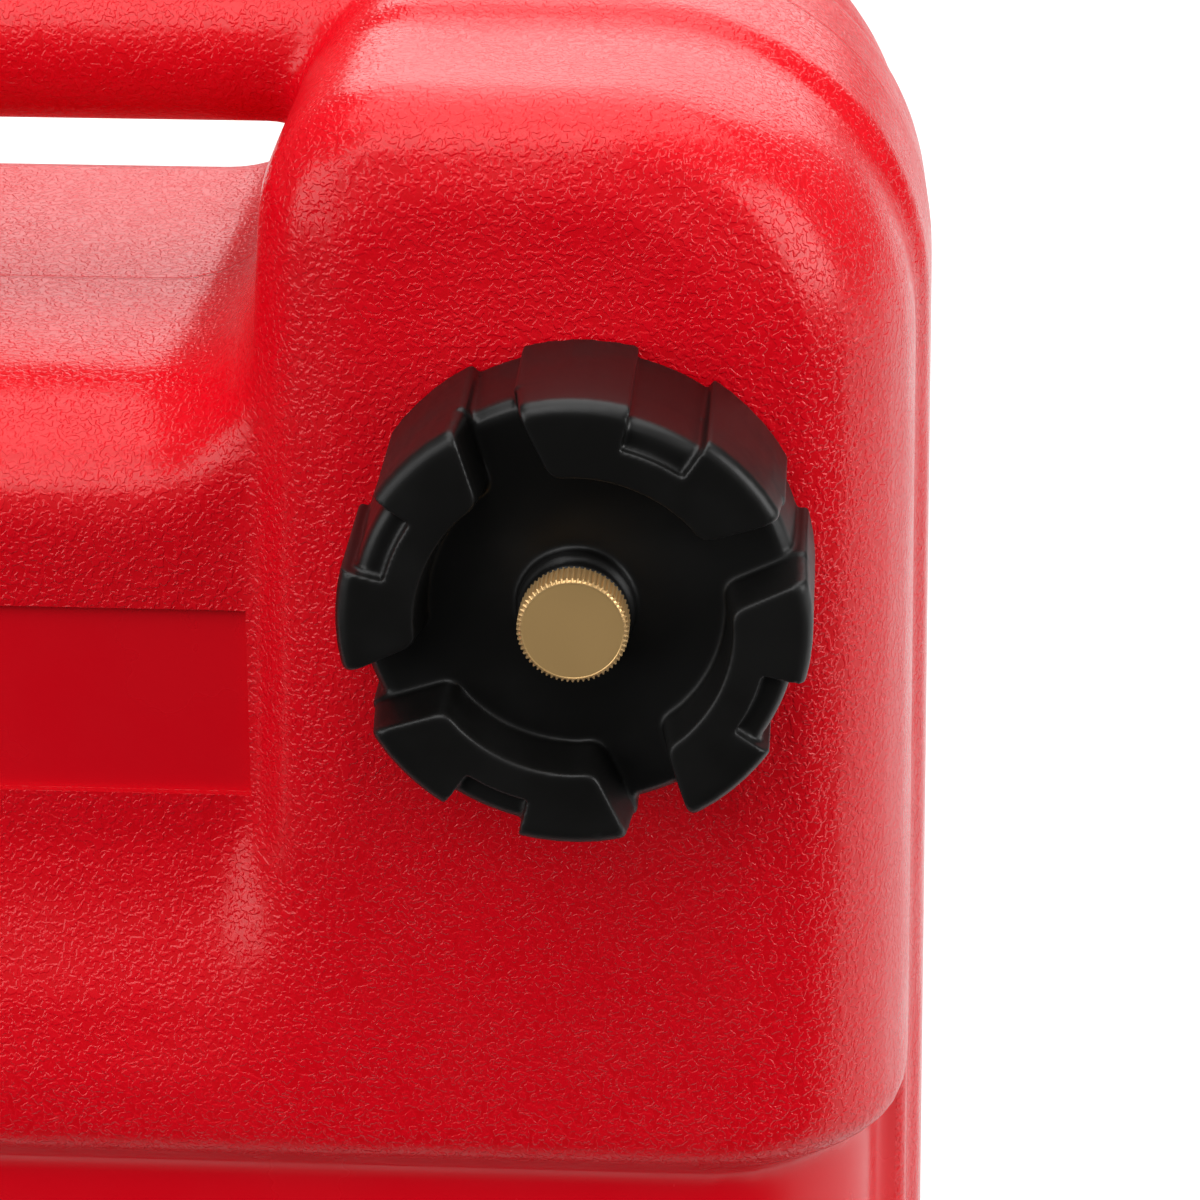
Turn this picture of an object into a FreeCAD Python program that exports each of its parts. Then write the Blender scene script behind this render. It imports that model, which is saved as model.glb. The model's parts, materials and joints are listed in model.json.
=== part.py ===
import FreeCAD, Part
import math
import os
from FreeCAD import Vector

# Portable outboard fuel tank: a blow-moulded body with a moulded-in handle, a lobed
# screw cap with a brass vent screw, and a combined gauge and fuel pick-up head.
# Millimetres. +X to the right, +Y to the back, +Z up, standing on Z = 0.

# ---- tank body ----
body_depth = 172.0
wall = 3.0
half_width_top = 159.8
side_lean = 4.4
block_top = 266.6
top_corner_radius = 50.0
base_corner_radius = 15.0
side_roll_width = 29.0
side_roll_depth = 38.0
edge_roll = 15.0
base_roll = 8.0
outer_steps = 5
inner_steps = 3
section_gap = 2.5
closest_gap = 0.3
brow_step = 0.05

# hand opening between the two blocks
opening_depth = 57.6
opening_half_floor = 48.0
opening_half_top = 52.5
opening_foot_radius = 24.0
opening_lip_radius = 24.0
lip_tightening = 0.7

# raised centre band that carries the parting line and runs into the handle
band_half_depth = 30.0
band_proud = 2.6
band_crown = 0.8
band_edge = 2.0
band_tuck = 1.2
handle_radius = 15.0
handle_drop = 0.4
handle_tuck = 26.0

# set-back front panel under the hand opening, with its plain capacity plate
panel_depth = 11.0
panel_foot = 89.0
panel_foot_rise = 43.0
panel_corner = 11.0
lip_height = 19.0
lip_reach = 34.0
plate_width = 95.0
plate_height = 34.5
plate_margin = 15.7
plate_sink = 1.6

# smooth lower panel that wraps the front and rear corners
skirt_top = 72.0
skirt_base = 26.0
skirt_sink = 6.0
skirt_roll = 9.0
skirt_shoulder = 4.0
skirt_corner = 34.0
skirt_overlap = 0.6
pillar_half_depth = 44.0

# ---- filler neck and cap ----
port_inset = 53.8
port_drop = 76.6
neck_bore = 26.0
neck_wall = 4.0
cap_height = 32.0
cap_gap = 0.8
lobe_rise = 10.7
cap_disc = 3.2
cap_radius = 36.0
cap_draft = 0.5
cap_edge = 1.2
thread_clearance = 1.3
gasket_thickness = 2.5
gasket_lap = 0.5

# four grip lobes: angles run clockwise from straight up, seen from the front
lobe_count = 4
lobe_radius = 38.3
lobe_inner = 25.3
lobe_start_inner = -8.3
lobe_end_inner = 54.5
lobe_start_outer = -14.0
lobe_end_outer = 64.0
lobe_foot_spread = 2.2
lobe_foot_turn = 2.0
lobe_edge = 1.4
notch_start = 15.5
notch_end = 37.0
notch_inner = 30.5
notch_step = 1.6
notch_depth = 4.5

# ---- brass vent ----
knob_radius = 9.0
knob_height = 5.6
knob_proud = 0.7
knob_edge = 0.5
boss_radius = 8.8
boss_foot_radius = 10.3
vent_seal_radius = 7.2
vent_seal_thickness = 0.8
stem_radius = 3.0
running_clearance = 0.05
bush_radius = 5.5
bush_length = 9.5
stem_below_bush = 4.2
air_bore = 1.1
air_port_drop = 1.4
clip_thickness = 0.9
clip_radius = 4.4
clip_margin = 0.5
guard_radius = 22.0
guard_wall = 1.2
guard_drop = 9.0
guard_snap = 2.5
guard_hole_circle = 13.0
guard_hole_radius = 2.5
guard_hole_count = 6

# ---- gauge and pick-up head ----
head_bore = 25.0
pad_radius = 39.0
pad_proud = 2.0
pad_depth = 8.0
head_radius = 38.5
head_thickness = 5.0
head_edge = 1.5
head_gasket_thickness = 1.5
spigot_clearance = 0.4
spigot_wall = 2.6
spigot_depth = 6.0
screw_circle = 31.5
screw_count = 6
screw_radius = 2.0
screw_clearance = 0.3
screw_head_radius = 3.9
screw_head_height = 2.4
screw_length = 12.0
socket_radius = 1.7
socket_depth = 1.5
insert_radius = 3.2
insert_length = 7.0

# magnetic level gauge in the front of the head
gauge_drop = 10.0
gauge_radius = 16.5
gauge_rim = 1.8
gauge_height = 6.5
gauge_skin = 0.9
dial_thickness = 0.8
dial_clearance = 0.2
dial_hole = 2.2
lens_thickness = 1.6
lens_ledge = 0.9
bezel_wall = 1.2
bezel_depth = 4.5
bezel_lip = 3.3
magnet_radius = 8.0
magnet_thickness = 2.5
magnet_pocket = 9.0
magnet_gap = 0.4
needle_shaft_radius = 1.6
needle_pin_radius = 0.8
needle_pin_head = 1.4
needle_length = 12.5
needle_width = 2.2
needle_tip = 0.7
needle_thickness = 0.6
needle_lift = 1.0
needle_rest = 220.0
pin_seat = 0.5

# ---- float ----
pivot_radius = 2.0
pivot_boss_depth = 2.0
pivot_boss_radius = 4.5
pivot_seat = 1.8
hub_radius = 4.5
hub_gap = 0.3
hub_back = 33.0
pin_tail = 2.5
arm_setback = 31.0
arm_length = 112.0
arm_radius = 1.5
arm_shoulder_radius = 3.0
arm_shoulder = 1.2
arm_tail = 3.5
float_radius = 13.0
float_length = 36.0
float_edge = 3.0

# ---- pick-up tube and hose connector ----
outlet_rise = 17.0
outlet_boss_radius = 8.0
outlet_boss_height = 7.0
tube_radius = 4.0
tube_bore = 2.9
tube_seat = 4.0
tube_setback = 52.0
tube_bend = 18.0
tube_end = 16.0
strainer_base = 8.0
strainer_radius = 7.0
strainer_length = 24.0
strainer_wall = 1.2
strainer_slot = 1.6
strainer_slot_count = 8
strainer_band = 3.0
elbow_spigot_radius = 5.0
elbow_seat = 6.5
elbow_radius = 6.5
elbow_bore = 2.6
elbow_clearance = 0.1
elbow_rise = 14.0
seal_thickness = 0.8
seal_radius = 7.4
collar_radius = 8.5
collar_height = 7.0
connector_stem_radius = 4.0
connector_stem_length = 7.0
nipple_radius = 4.75
nipple_length = 22.0
nipple_edge = 0.8
valve_bore = 2.9
valve_ledge_bore = 1.8
valve_ledge_height = 13.0
valve_mouth = 1.5
valve_mouth_length = 2.0
valve_head_radius = 2.5
valve_head_height = 3.0
valve_pin_radius = 0.9
spring_radius = 2.15
spring_wire = 0.4
spring_turns = 4

# how close an edge lies to a face that it belongs to
pick_distance = 0.1

# ---- places worked out from the sizes above ----
half_width_base = half_width_top + side_lean
opening_floor = block_top - opening_depth
plate_base = opening_floor - lip_height - plate_margin - plate_height
port_offset = half_width_top - port_inset
port_height = block_top - port_drop
overall_depth = knob_proud + cap_height + body_depth
middle_y = (overall_depth - body_depth) / 2
half_depth = body_depth / 2
face_y = middle_y - half_depth
handle_top = block_top + band_proud + band_crown
handle_z = handle_top - handle_drop - handle_radius
disc_face = cap_height - lobe_rise
disc_under = disc_face - cap_disc
neck_top = disc_under - gasket_thickness
neck_radius = neck_bore + neck_wall
cap_bore = neck_radius + thread_clearance
knob_face = cap_height + knob_proud
knob_base = knob_face - knob_height
boss_face = knob_base - vent_seal_thickness
bush_base = boss_face - bush_length
stem_end = bush_base - stem_below_bush
guard_base = disc_under - guard_drop
head_base = pad_proud + head_gasket_thickness
head_face = head_base + head_thickness
well_face = head_face + gauge_height
well_bore = gauge_radius - gauge_rim
lens_base = well_face - lens_thickness
dial_face = head_face + dial_thickness
needle_base = dial_face + needle_lift
needle_face = needle_base + needle_thickness
pocket_floor = head_base + gauge_skin
magnet_base = pocket_floor + magnet_gap
pivot_boss_face = head_base - pivot_boss_depth
hub_front = pivot_boss_face - hub_gap
outlet_face = head_face + outlet_boss_height
elbow_base = outlet_face + seal_thickness
elbow_axis_height = elbow_base + elbow_radius + elbow_clearance
connector_base = outlet_rise + elbow_rise
collar_base = connector_base + seal_thickness
nipple_base = collar_base + collar_height
nipple_top = nipple_base + nipple_length
valve_seat = nipple_top - valve_mouth_length
spring_base = collar_base + valve_ledge_height
spring_top = valve_seat - valve_head_height


# ---- shared shapes ----

def rounded_outline(corners, y):
    # Closed outline in the plane at y, with an arc tangent to both sides at each corner.
    starts, middles, ends = [], [], []
    count = len(corners)
    for i in range(count):
        x, z, radius = corners[i]
        corner = Vector(x, y, z)
        before = Vector(corners[i - 1][0], y, corners[i - 1][1]) - corner
        after = Vector(corners[(i + 1) % count][0], y, corners[(i + 1) % count][1]) - corner
        before.normalize()
        after.normalize()
        half_angle = before.getAngle(after) / 2
        inward = before + after
        inward.normalize()
        reach = radius / math.tan(half_angle)
        starts.append(corner + before * reach)
        ends.append(corner + after * reach)
        middles.append(corner + inward * (radius / math.sin(half_angle) - radius))
    edges = []
    for i in range(count):
        edges.append(Part.Arc(starts[i], middles[i], ends[i]).toShape())
        edges.append(Part.LineSegment(ends[i], starts[(i + 1) % count]).toShape())
    return Part.Wire(edges)


def ring(outer, inner, low, high):
    tube = Part.makeCylinder(outer, high - low, Vector(0, 0, low))
    return tube.cut(Part.makeCylinder(inner, high - low, Vector(0, 0, low)))


def disc(radius, low, high, x=0, y=0):
    return Part.makeCylinder(radius, high - low, Vector(x, y, low))


def on_front(shape, x, z):
    # Local +Z points out of the tank's front face and local +Y points up.
    placed = shape.copy()
    placed.rotate(Vector(0, 0, 0), Vector(1, 0, 0), 90)
    placed.translate(Vector(x, face_y, z))
    return placed


def at_filler(shape):
    return on_front(shape, port_offset, port_height)


def at_head(shape):
    return on_front(shape, -port_offset, port_height)


def at_outlet(shape):
    # Upright parts on the elbow's axis, with heights measured from the port centre.
    placed = shape.copy()
    placed.translate(Vector(-port_offset, face_y - elbow_axis_height, port_height))
    return placed


def around(shape, count, first=0):
    copies = []
    for i in range(count):
        copy = shape.copy()
        copy.rotate(Vector(0, 0, 0), Vector(0, 0, 1), first + i * 360 / count)
        copies.append(copy)
    return copies


def edges_above(shape, height):
    return [e for e in shape.Edges if e.BoundBox.ZMin > height - pick_distance]


# ---- tank body ----

def roll_off(reach, half, width, depth):
    # Inset of a rounded edge at a distance from the middle plane: a quarter ellipse.
    start = half - depth
    if reach <= start:
        return 0
    share = min((reach - start) / depth, 1)
    return width * (1 - math.sqrt(1 - share * share))


def opening_level(place, half, edge):
    # Height and foot radius of the hand opening's floor. Behind the middle it is level
    # with a rounded rear edge. In front it rolls over a lip, drops down the set-back
    # panel and swells out again at the panel's foot in an S, the inverse of a smooth step.
    behind_face = half + place
    if place > 0:
        return opening_floor - edge, opening_foot_radius
    if behind_face >= panel_depth:
        lip_fall = roll_off(-place, half - panel_depth, lip_height, lip_reach)
        return opening_floor - lip_fall, opening_foot_radius
    share = behind_face / panel_depth
    climb = 0.5 - math.sin(math.asin(1 - 2 * share) / 3)
    radius = panel_corner + (opening_foot_radius - panel_corner) * (1 - share)
    return panel_foot + panel_foot_rise * climb, radius


def body_section(place, inset):
    # Front view of the body, cut at a distance from the middle plane.
    half = half_depth - inset
    reach = abs(place)
    side = inset + roll_off(reach, half, side_roll_width - inset, side_roll_depth - inset)
    edge = roll_off(reach, half, edge_roll - inset, edge_roll - inset)
    foot = inset + roll_off(reach, half, base_roll - inset, base_roll - inset)
    top = block_top - inset - edge
    floor, foot_radius = opening_level(place, half, edge)
    corner = max(top_corner_radius - inset - (side + edge) / 2, edge_roll)
    lip = opening_lip_radius - inset - edge * lip_tightening
    base = base_corner_radius - inset
    spread = inset + edge
    corners = [
        (-half_width_base + side, foot, base),
        (half_width_base - side, foot, base),
        (half_width_top - side, top, corner),
        (opening_half_top + spread, top, lip),
        (opening_half_floor + spread, floor - inset, foot_radius + inset),
        (-opening_half_floor - spread, floor - inset, foot_radius + inset),
        (-opening_half_top - spread, top, lip),
        (-half_width_top + side, top, corner),
    ]
    return rounded_outline(corners, middle_y + place)


def spaced(places):
    # Places in order, without those too close to the one before.
    kept = []
    for place in sorted(places):
        if not kept or place - kept[-1] > section_gap:
            kept.append(place)
    return kept


def body_form(inset, steps):
    # Loft through front-view sections, closest together where the edges roll over.
    half = half_depth - inset
    turns = [math.sin(math.radians(90 * i / steps)) for i in range(steps + 1)]
    side_start = half - side_roll_depth + inset
    edge_start = half - edge_roll + inset
    rolls = [side_start + (half - side_start) * t for t in turns]
    rolls += [edge_start + (half - edge_start) * t for t in turns]
    rear = [p for p in spaced([0] + rolls) if half - p > closest_gap] + [half]
    lip = [half - panel_depth - lip_reach * (1 - t) for t in turns[:-1]]
    swell = [half - panel_depth * (1 - i / steps) for i in range(1, steps)]
    brow = half - panel_depth
    front = [p for p in spaced(rolls + lip + swell) if min(abs(p - brow), half - p) > closest_gap]
    front = sorted(front + [brow, brow + brow_step, half])
    places = [-p for p in reversed(front)] + rear
    return Part.makeLoft([body_section(p, inset) for p in places], True, True)


def band_section(place):
    # Outline of the raised band; its lower middle stays hidden inside the body.
    share = abs(place) / band_half_depth
    proud = band_proud + band_crown * (1 - share)
    proud -= roll_off(abs(place), band_half_depth, band_edge, band_edge)
    top = block_top + proud
    half_top = opening_half_top + band_tuck
    half_floor = opening_half_floor + band_tuck
    hidden_floor = opening_floor - 2 * wall
    corners = [
        (-half_width_base - proud, 0, base_corner_radius),
        (half_width_base + proud, 0, base_corner_radius),
        (half_width_top + proud, top, top_corner_radius + proud),
        (half_top, top, opening_lip_radius + band_edge),
        (half_floor, hidden_floor, opening_foot_radius),
        (-half_floor, hidden_floor, opening_foot_radius),
        (-half_top, top, opening_lip_radius + band_edge),
        (-half_width_top - proud, top, top_corner_radius + proud),
    ]
    return rounded_outline(corners, middle_y + place)


def band_form():
    edge_start = band_half_depth - band_edge
    places = [0.0, edge_start]
    for angle in (30, 60, 90):
        places.append(edge_start + band_edge * math.sin(math.radians(angle)))
    ordered = [-p for p in reversed(places[1:])] + places
    return Part.makeLoft([band_section(p) for p in ordered], True, True)


def handle_bar(inset):
    end = opening_half_top + handle_tuck - inset
    start = Vector(-end, middle_y, handle_z)
    return Part.makeCylinder(handle_radius - inset, 2 * end, start, Vector(1, 0, 0))


def level_section(z, sink):
    # Plan outline of the body at a level, set in by a distance.
    lean = (half_width_base - half_width_top) * z / block_top
    half_x = half_width_base - lean - sink
    half_y = half_depth - sink
    corners = [
        (-half_x, -half_y, skirt_corner),
        (half_x, -half_y, skirt_corner),
        (half_x, half_y, skirt_corner),
        (-half_x, half_y, skirt_corner),
    ]
    outline = rounded_outline(corners, 0)
    outline.rotate(Vector(0, 0, 0), Vector(1, 0, 0), -90)
    outline.translate(Vector(0, middle_y, z))
    return outline


def skirt_cut(inset, steps):
    # Room around the smooth lower panel, with a rolled ledge above and a shoulder below.
    low = skirt_base - inset
    high = skirt_top + inset
    turns = [math.radians(90 * i / steps) for i in range(steps + 1)]
    rolls = [inset - skirt_overlap + (skirt_sink + skirt_overlap) * (1 - math.cos(t)) for t in turns]
    rings = [(low - skirt_shoulder * (1 - math.sin(t)), s) for t, s in zip(turns, rolls)]
    rings += [(high + skirt_roll * (1 - math.sin(t)), s) for t, s in zip(turns[::-1], rolls[::-1])]
    core = Part.makeLoft([level_section(z, sink) for z, sink in rings], True, True)
    bottom = rings[0][0]
    height = rings[-1][0] - bottom
    width = 4 * half_width_base
    block = Part.makeBox(width, 2 * body_depth, height, Vector(-width / 2, middle_y - body_depth, bottom))
    half_pillar = pillar_half_depth - inset
    corner = Vector(-width / 2, middle_y - half_pillar, bottom)
    pillar = Part.makeBox(width, 2 * half_pillar, height, corner)
    return block.cut(core).cut(pillar)


def plate_pocket():
    depth = panel_depth + plate_sink
    return Part.makeBox(plate_width, depth, plate_height, Vector(-plate_width / 2, face_y, plate_base))


def tank_body():
    neck = disc(neck_radius, -2 * wall, neck_top)
    pad = disc(pad_radius, -pad_depth, pad_proud)
    outer = body_form(0, outer_steps).cut(skirt_cut(0, outer_steps))
    outer = outer.fuse(band_form()).fuse(handle_bar(0))
    outer = outer.fuse([at_filler(neck), at_head(pad)])
    inner = body_form(wall, inner_steps).cut(skirt_cut(wall, inner_steps))
    inner = inner.fuse(handle_bar(wall)).cut(at_head(pad))
    body = outer.cut(plate_pocket()).cut(inner)
    body = body.cut(at_filler(disc(neck_bore, -4 * wall, neck_top)))
    body = body.cut(at_head(disc(head_bore, -2 * pad_depth, pad_proud)))
    hole = disc(insert_radius, pad_proud - insert_length, pad_proud, 0, screw_circle)
    return body.cut([at_head(h) for h in around(hole, screw_count, 180 / screw_count)])


# ---- filler cap ----

def compass(radius, angle, height=0):
    # Point at an angle clockwise from straight up, seen from the front.
    turn = math.radians(angle)
    return Vector(radius * math.sin(turn), radius * math.cos(turn), height)


def lobe_outline(inner, inner_start, inner_end, turn, height):
    outer_start = lobe_start_outer - turn
    outer_end = lobe_end_outer + turn
    near_start = compass(inner, inner_start, height)
    near_end = compass(inner, inner_end, height)
    far_start = compass(lobe_radius, outer_start, height)
    far_end = compass(lobe_radius, outer_end, height)
    near_middle = compass(inner, (inner_start + inner_end) / 2, height)
    far_middle = compass(lobe_radius, (outer_start + outer_end) / 2, height)
    return Part.Wire([
        Part.Arc(near_start, near_middle, near_end).toShape(),
        Part.LineSegment(near_end, far_end).toShape(),
        Part.Arc(far_end, far_middle, far_start).toShape(),
        Part.LineSegment(far_start, near_start).toShape(),
    ])


def cap_lobe():
    turn = lobe_foot_turn
    foot = lobe_outline(
        lobe_inner - lobe_foot_spread, lobe_start_inner - turn, lobe_end_inner + turn, turn, disc_face)
    top = lobe_outline(lobe_inner, lobe_start_inner, lobe_end_inner, 0, cap_height)
    block = Part.makeLoft([foot, top], True, True)
    rib = lobe_outline(cap_radius - cap_edge, lobe_start_outer - turn, lobe_end_outer + turn, turn, cap_gap)
    rib = Part.Face(rib).extrude(Vector(0, 0, disc_face - cap_gap))
    lobe = block.fuse(rib).removeSplitter()
    lobe = lobe.makeFillet(lobe_edge, edges_above(lobe, cap_height))
    clear = 2 * lobe_radius
    notch = [
        Vector(clear, 0, 0),
        Vector(clear, 0, clear),
        Vector(notch_inner, 0, clear),
        Vector(notch_inner, 0, cap_height - notch_step),
        Vector(cap_radius, 0, cap_height - notch_depth),
        Vector(cap_radius, 0, 0),
    ]
    cutter = Part.Face(Part.makePolygon(notch + notch[:1]))
    cutter = cutter.revolve(Vector(0, 0, 0), Vector(0, 0, 1), notch_end - notch_start)
    cutter.rotate(Vector(0, 0, 0), Vector(0, 0, 1), 90 - notch_end)
    return lobe.cut(cutter)


def filler_cap():
    height = disc_face - cap_gap
    shell = Part.makeCone(cap_radius + cap_draft, cap_radius, height, Vector(0, 0, cap_gap))
    shell = shell.makeFillet(cap_edge, edges_above(shell, disc_face))
    boss = Part.makeCone(boss_foot_radius, boss_radius, boss_face - disc_face, Vector(0, 0, disc_face))
    snap_radius = guard_radius - guard_wall
    snap = ring(snap_radius, snap_radius - guard_wall, disc_under - guard_snap, disc_under)
    cap = shell.fuse([boss] + around(cap_lobe(), lobe_count))
    cap = cap.cut(disc(cap_bore, 0, disc_under)).fuse(snap)
    return cap.cut(disc(bush_radius, 0, cap_height))


def splash_guard():
    # Perforated cup snapped on a rib under the disc; it keeps surging fuel off the vent.
    cup = disc(guard_radius, guard_base, disc_under)
    cup = cup.cut(disc(guard_radius - guard_wall, guard_base + guard_wall, disc_under))
    drain = disc(guard_hole_radius, guard_base, guard_base + guard_wall, 0, guard_hole_circle)
    middle = (guard_base + disc_under - guard_snap) / 2
    side = Part.makeCylinder(guard_wall, guard_radius, Vector(0, 0, middle), Vector(0, 1, 0))
    return cup.cut(around(drain, guard_hole_count) + around(side, guard_hole_count))


def vent_bush():
    return ring(bush_radius, stem_radius + running_clearance, bush_base, boss_face)


def vent_screw():
    knob = disc(knob_radius, knob_base, knob_face)
    knob = knob.makeFillet(knob_edge, [e for e in knob.Edges if len(e.Vertexes) == 1])
    screw = knob.fuse(disc(stem_radius, stem_end, knob_base))
    port = boss_face - air_port_drop
    across = Part.makeCylinder(air_bore, 2 * stem_radius, Vector(-stem_radius, 0, port), Vector(1, 0, 0))
    return screw.cut(disc(air_bore, stem_end, port).fuse(across))


def vent_seal():
    return ring(vent_seal_radius, stem_radius + running_clearance, boss_face, knob_base)


def vent_clip():
    low = stem_end + clip_margin
    return ring(clip_radius, stem_radius, low, low + clip_thickness)


def cap_gasket():
    return ring(cap_bore - gasket_lap, neck_bore + gasket_lap, neck_top, disc_under)


# ---- gauge and pick-up head ----

def screw_places(shape):
    return around(shape, screw_count, 180 / screw_count)


def gauge_head():
    well = 0, -gauge_drop
    outlet = 0, outlet_rise
    flange = disc(head_radius, head_base, head_face)
    flange = flange.makeFillet(head_edge, edges_above(flange, head_face))
    spigot_radius = head_bore - spigot_clearance
    spigot = ring(spigot_radius, spigot_radius - spigot_wall, -spigot_depth, head_base)
    head = flange.fuse([
        spigot,
        disc(gauge_radius, head_base, well_face, *well),
        disc(outlet_boss_radius, head_base, outlet_face, *outlet),
        disc(pivot_boss_radius, pivot_boss_face, head_base, *well),
    ])
    hole = disc(screw_radius + screw_clearance, head_base, head_face, 0, screw_circle)
    return head.cut([
        disc(well_bore, head_face, well_face, *well),
        disc(well_bore + lens_ledge, lens_base, well_face, *well),
        disc(magnet_pocket, pocket_floor, head_face, *well),
        disc(needle_pin_radius, pocket_floor - pin_seat, head_face, *well),
        disc(pivot_radius, pivot_boss_face, pivot_boss_face + pivot_seat, *well),
        disc(elbow_spigot_radius, outlet_face - elbow_seat, outlet_face, *outlet),
        disc(tube_bore, head_base, outlet_face, *outlet),
        disc(tube_radius, head_base, head_base + tube_seat, *outlet),
    ] + screw_places(hole))


def head_gasket():
    seal = ring(head_radius, head_bore, pad_proud, head_base)
    hole = disc(screw_radius + screw_clearance, pad_proud, head_base, 0, screw_circle)
    return seal.cut(screw_places(hole))


def head_screw():
    top = head_face + screw_head_height
    head = disc(screw_head_radius, head_face, top, 0, screw_circle)
    head = head.makeFillet(screw_head_height / 4, edges_above(head, top))
    flats = [compass(socket_radius, 60 * i, top - socket_depth) for i in range(7)]
    socket = Part.Face(Part.makePolygon(flats)).extrude(Vector(0, 0, socket_depth))
    socket.translate(Vector(0, screw_circle, 0))
    shank = disc(screw_radius, head_face - screw_length, head_face, 0, screw_circle)
    return head.cut(socket).fuse(shank)


def screw_insert():
    low = pad_proud - insert_length
    insert = ring(insert_radius, screw_radius, low, pad_proud)
    insert.translate(Vector(0, screw_circle, 0))
    return insert


# ---- level gauge, centred on the gauge axis ----

def gauge_axis(shape):
    placed = shape.copy()
    placed.translate(Vector(0, -gauge_drop, 0))
    return at_head(placed)


def gauge_dial():
    return ring(well_bore - dial_clearance, dial_hole, head_face, dial_face)


def gauge_lens():
    return disc(well_bore + lens_ledge, lens_base, well_face)


def gauge_bezel():
    outer = gauge_radius + bezel_wall
    low = well_face - bezel_depth
    top = well_face + bezel_wall
    bezel = disc(outer, low, top).cut(disc(gauge_radius, low, well_face))
    bezel = bezel.cut(disc(outer - bezel_lip, low, top))
    return bezel.makeFillet(bezel_wall / 3, edges_above(bezel, top))


def needle_magnet():
    return ring(magnet_radius, needle_shaft_radius, magnet_base, magnet_base + magnet_thickness)


def gauge_needle():
    bore = needle_pin_radius + running_clearance
    shaft = disc(needle_shaft_radius, magnet_base, needle_face)
    half = needle_width / 2
    corners = [
        Vector(-half, -needle_width, needle_base),
        Vector(half, -needle_width, needle_base),
        Vector(half, 0, needle_base),
        Vector(needle_tip / 2, needle_length, needle_base),
        Vector(-needle_tip / 2, needle_length, needle_base),
        Vector(-half, 0, needle_base),
    ]
    pointer = Part.Face(Part.makePolygon(corners + corners[:1])).extrude(Vector(0, 0, needle_thickness))
    needle = shaft.fuse(pointer).cut(disc(bore, magnet_base, needle_face))
    needle.rotate(Vector(0, 0, 0), Vector(0, 0, 1), -needle_rest)
    return needle


def needle_pin():
    cap_low = needle_face + hub_gap
    pin = disc(needle_pin_radius, pocket_floor - pin_seat, cap_low)
    return pin.fuse(disc(needle_pin_head, cap_low, cap_low + needle_thickness))


# ---- float ----

def pivot_pin():
    return disc(pivot_radius, -hub_back - pin_tail, pivot_boss_face + pivot_seat)


def drive_magnet():
    front = hub_front - magnet_gap
    return ring(magnet_radius, hub_radius, front - magnet_thickness, front)


def arm_clip():
    back = -hub_back - hub_gap
    return ring(clip_radius, pivot_radius, back - clip_thickness, back)


def on_arm(shape):
    # Local +Z runs down the hanging arm from the gauge axis.
    placed = shape.copy()
    placed.rotate(Vector(0, 0, 0), Vector(1, 0, 0), 90)
    placed.translate(Vector(0, 0, -arm_setback))
    return placed


def float_arm():
    hub = disc(hub_radius, -hub_back, hub_front)
    rod = disc(arm_radius, 0, arm_length)
    shoulder_end = arm_length - arm_tail - float_length
    shoulder = disc(arm_shoulder_radius, shoulder_end - arm_shoulder, shoulder_end)
    arm = hub.fuse([on_arm(rod), on_arm(shoulder)])
    return arm.cut(disc(pivot_radius + running_clearance, -hub_back, hub_front))


def level_float():
    end = arm_length - arm_tail
    body = disc(float_radius, end - float_length, end)
    body = body.makeFillet(float_edge, [e for e in body.Edges if len(e.Vertexes) == 1])
    return on_arm(body.cut(disc(arm_radius, end - float_length, end)))


def float_clip():
    end = arm_length - arm_tail
    return on_arm(ring(clip_radius, arm_radius, end, end + clip_thickness))


# ---- pick-up tube and hose connector ----

def swept(radius, path):
    start = path.Edges[0]
    profile = Part.Wire(Part.makeCircle(radius, start.Vertexes[0].Point, start.tangentAt(0)))
    return path.makePipeShell([profile], True, True)


def pickup_tube():
    bend_start = tube_bend - tube_setback
    rest = tube_bend * (1 - math.sqrt(0.5))
    top = Vector(0, outlet_rise, head_base + tube_seat)
    corner = Vector(0, outlet_rise, bend_start)
    middle = Vector(0, outlet_rise - rest, rest - tube_setback)
    turn_end = Vector(0, outlet_rise - tube_bend, -tube_setback)
    foot = Vector(0, tube_end - port_height, -tube_setback)
    path = Part.Wire([
        Part.LineSegment(top, corner).toShape(),
        Part.Arc(corner, middle, turn_end).toShape(),
        Part.LineSegment(turn_end, foot).toShape(),
    ])
    return at_head(swept(tube_radius, path).cut(swept(tube_bore, path)))


def strainer():
    top = strainer_base + strainer_length
    cage = disc(strainer_radius, strainer_base, top)
    inside = strainer_radius - strainer_wall
    cage = cage.cut(disc(inside, strainer_base + strainer_wall, top - strainer_band))
    cage = cage.cut(disc(tube_radius, top - strainer_band, top))
    low = strainer_base + strainer_band
    height = strainer_length - 3 * strainer_band
    corner = Vector(0, -strainer_slot / 2, low)
    slot = Part.makeBox(2 * strainer_radius, strainer_slot, height, corner)
    cage = cage.cut(around(slot, strainer_slot_count))
    cage.translate(Vector(-port_offset, face_y + tube_setback, 0))
    return cage


def outlet_elbow():
    axis = elbow_axis_height
    base = Vector(0, outlet_rise, axis)
    up = Vector(0, 1, 0)
    body = disc(elbow_radius, elbow_base, axis, 0, outlet_rise)
    body = body.fuse([
        disc(elbow_spigot_radius, outlet_face - elbow_seat, elbow_base, 0, outlet_rise),
        Part.makeSphere(elbow_radius, base),
        Part.makeCylinder(elbow_radius, elbow_rise, base, up),
    ])
    seat = Vector(0, connector_base - connector_stem_length, axis)
    return body.cut([
        disc(elbow_bore, outlet_face - elbow_seat, axis, 0, outlet_rise),
        Part.makeSphere(elbow_bore, base),
        Part.makeCylinder(elbow_bore, elbow_rise, base, up),
        Part.makeCylinder(connector_stem_radius, connector_stem_length, seat, up),
    ])


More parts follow.
